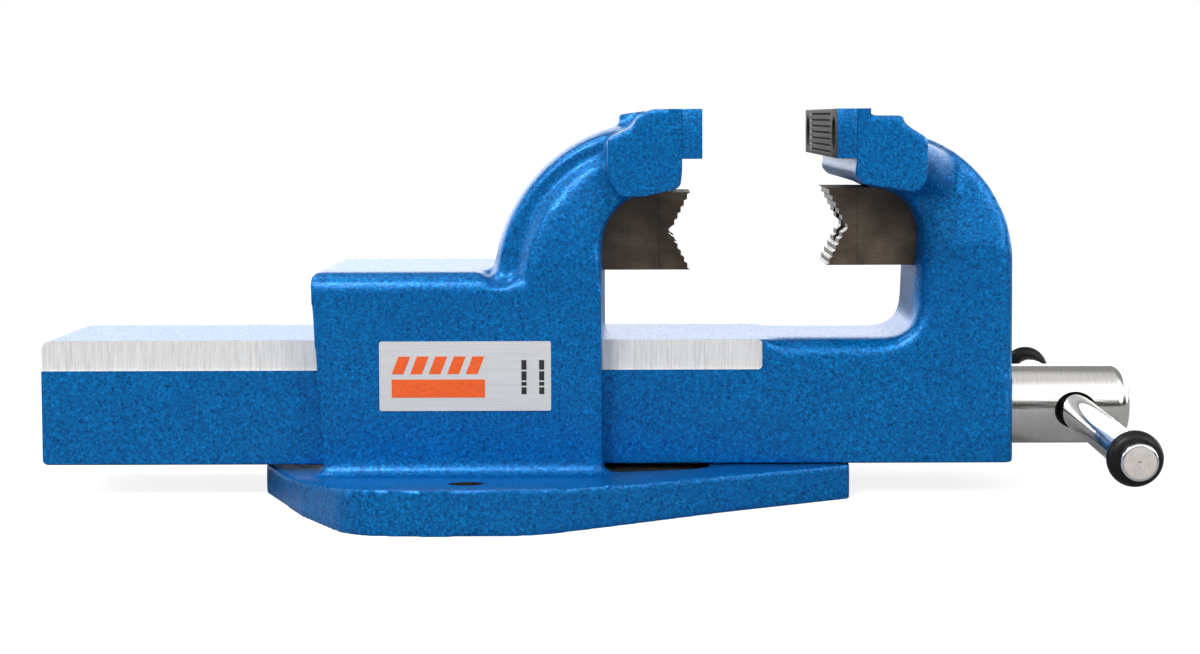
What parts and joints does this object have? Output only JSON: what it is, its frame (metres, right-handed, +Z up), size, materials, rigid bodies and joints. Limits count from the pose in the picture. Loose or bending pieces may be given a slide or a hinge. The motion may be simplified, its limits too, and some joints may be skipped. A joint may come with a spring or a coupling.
{
  "type": "bench vise",
  "caption": "Bench vise with a prismatic slide, steel jaw plates, toothed pipe jaws and a sliding chrome handle.",
  "frame": {"origin": "on the underside, midway between the bench bolt holes", "axes": "+X along the slide towards the handle, +Z up"},
  "size_m": [0.418, 0.1991, 0.1482],
  "materials": {
    "blue_paint": "glossy hammertone",
    "turned_steel": "turned",
    "hard_steel": "blackened",
    "pipe_steel": "bare, darkened",
    "chrome_bar": "polished",
    "black_rubber": "satin",
    "nut_bronze": "machined",
    "label_aluminium": "satin"
  },
  "bodies": {
    "vise_body": {"body_casting": "blue_paint", "main_nut": "nut_bronze", "nut_screws": "hard_steel", "nut_washers": "turned_steel", "jaw_plate_fixed": "hard_steel", "jaw_screws_fixed": "hard_steel", "pipe_jaw_fixed": "pipe_steel", "pipe_screw_fixed": "hard_steel", "label_plate": "label_aluminium"},
    "moving_jaw": {"slide_casting": "blue_paint", "jaw_plate_moving": "hard_steel", "jaw_screws_moving": "hard_steel", "pipe_jaw_moving": "pipe_steel", "pipe_screw_moving": "hard_steel", "thrust_washer": "turned_steel", "spring_seat": "turned_steel"},
    "spindle": {"lead_screw": "turned_steel", "return_spring": "turned_steel", "retaining_collar": "turned_steel", "collar_pin": "turned_steel"},
    "handle": {"handle_bar": "chrome_bar", "handle_ring_near": "black_rubber", "handle_ring_far": "black_rubber"}
  },
  "joints": [
    {"name": "jaw_slide", "type": "slide", "parent": "vise_body", "child": "moving_jaw", "axis": [1, 0, 0], "range_m": [-0.048, 0.1017]},
    {"name": "spindle_spin", "type": "hinge", "parent": "moving_jaw", "child": "spindle", "pos_m": [0.2, 0, 0.032], "axis": [1, 0, 0], "continuous": true},
    {"name": "handle_slide", "type": "slide", "parent": "spindle", "child": "handle", "axis": [0, 0.9994, 0.0349], "range_m": [-0.061, 0.082]}
  ],
  "couplings": [
    {"joint": "spindle_spin", "follows": "jaw_slide", "rad_per_m": 1570.8}
  ]
}
